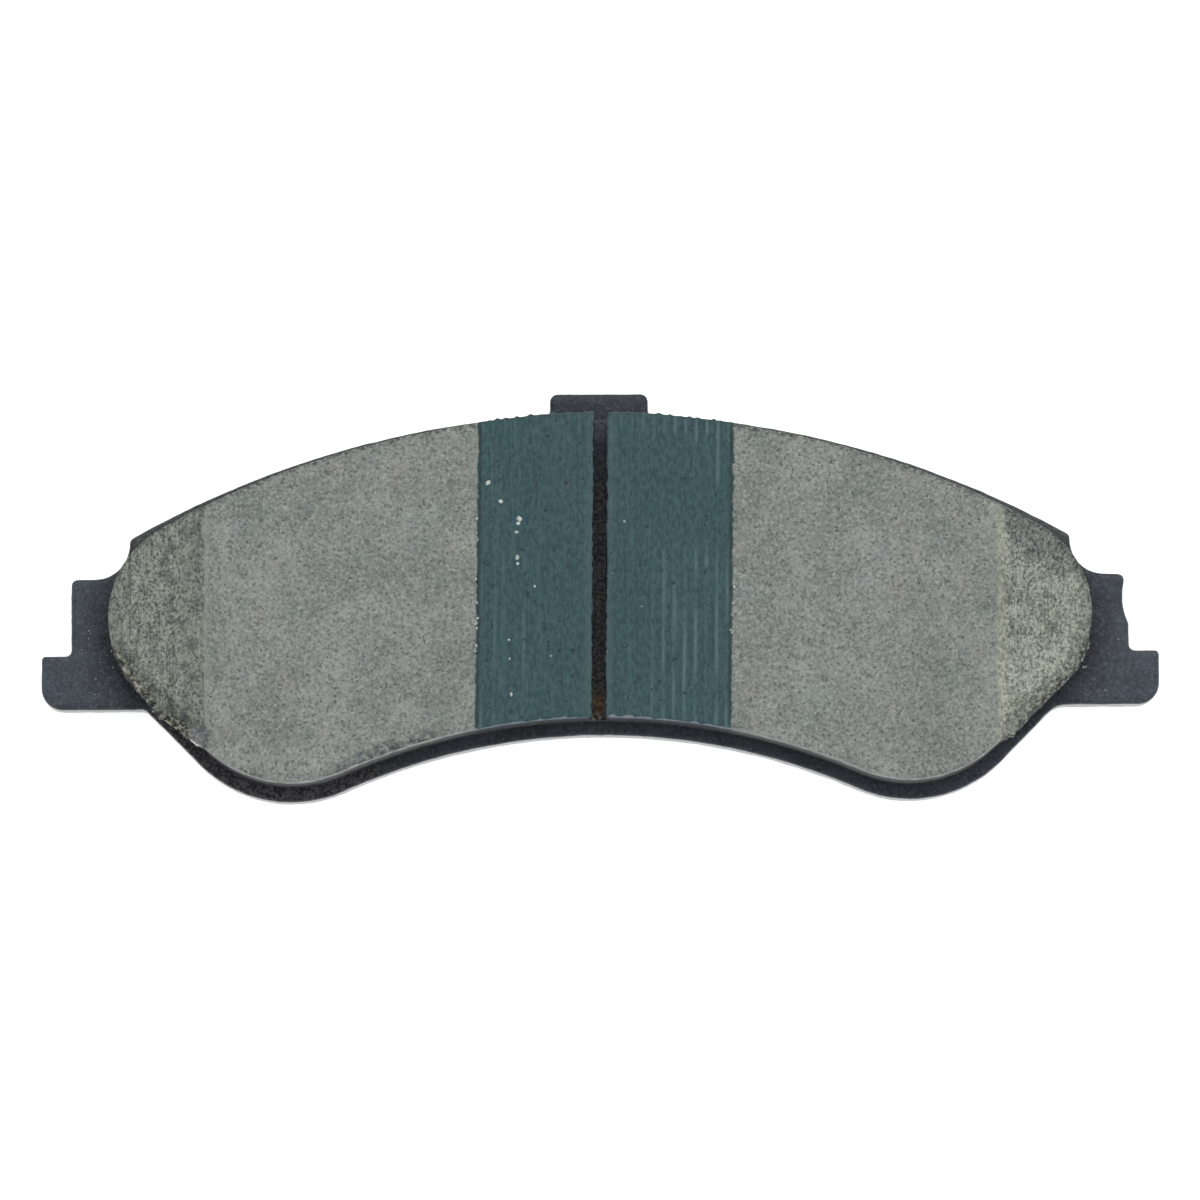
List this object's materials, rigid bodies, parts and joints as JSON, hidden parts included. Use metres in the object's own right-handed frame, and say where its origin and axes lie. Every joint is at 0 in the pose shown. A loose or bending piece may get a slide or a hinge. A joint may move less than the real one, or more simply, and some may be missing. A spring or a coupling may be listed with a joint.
{
  "type": "disc brake pad",
  "caption": "Disc brake pad: steel backing plate with hammerhead ears, slotted and chamfered friction blocks with a teal burnish coat, and a laminated shim on the back.",
  "frame": {"origin": "under the middle of the pad's outline, on the shim's outer face, which is what the pad rests on", "axes": "+X along the pad towards the ear with the hollowed neck, +Y away from the rotor's axis towards the tab, +Z out of the friction face towards the rotor"},
  "size_m": [0.1676, 0.0612, 0.018],
  "materials": {
    "plate_paint": "satin black powder coat with a fine orange-peel texture over die-cut steel",
    "underlayer": "rough dark grey moulded bonding layer, rusty at the slot's inner end",
    "friction": "ground grey ceramic friction compound, speckled with fibres and small pits",
    "burnish_coat": "matte teal brushed-on coat with fine ridges and worn flecks",
    "shim_steel": "bare rolled steel sheet seen only at its cut edge",
    "shim_damping": "soft black damping film seen only at its edge",
    "shim_adhesive": "pressure-sensitive adhesive film, hidden under the shim",
    "shim_rubber": "matte black bonded rubber coat with a fine fabric-like grain"
  },
  "bodies": {
    "root": {"shim_rubber_coat": "shim_rubber", "shim_outer_steel": "shim_steel", "shim_damping_core": "shim_damping", "shim_inner_steel": "shim_steel", "shim_adhesive": "shim_adhesive", "backing_plate": "plate_paint", "underlayer": "underlayer", "friction_block_left": "friction", "friction_block_right": "friction", "burnish_coat_left": "burnish_coat", "burnish_coat_right": "burnish_coat"}
  },
  "joints": []
}
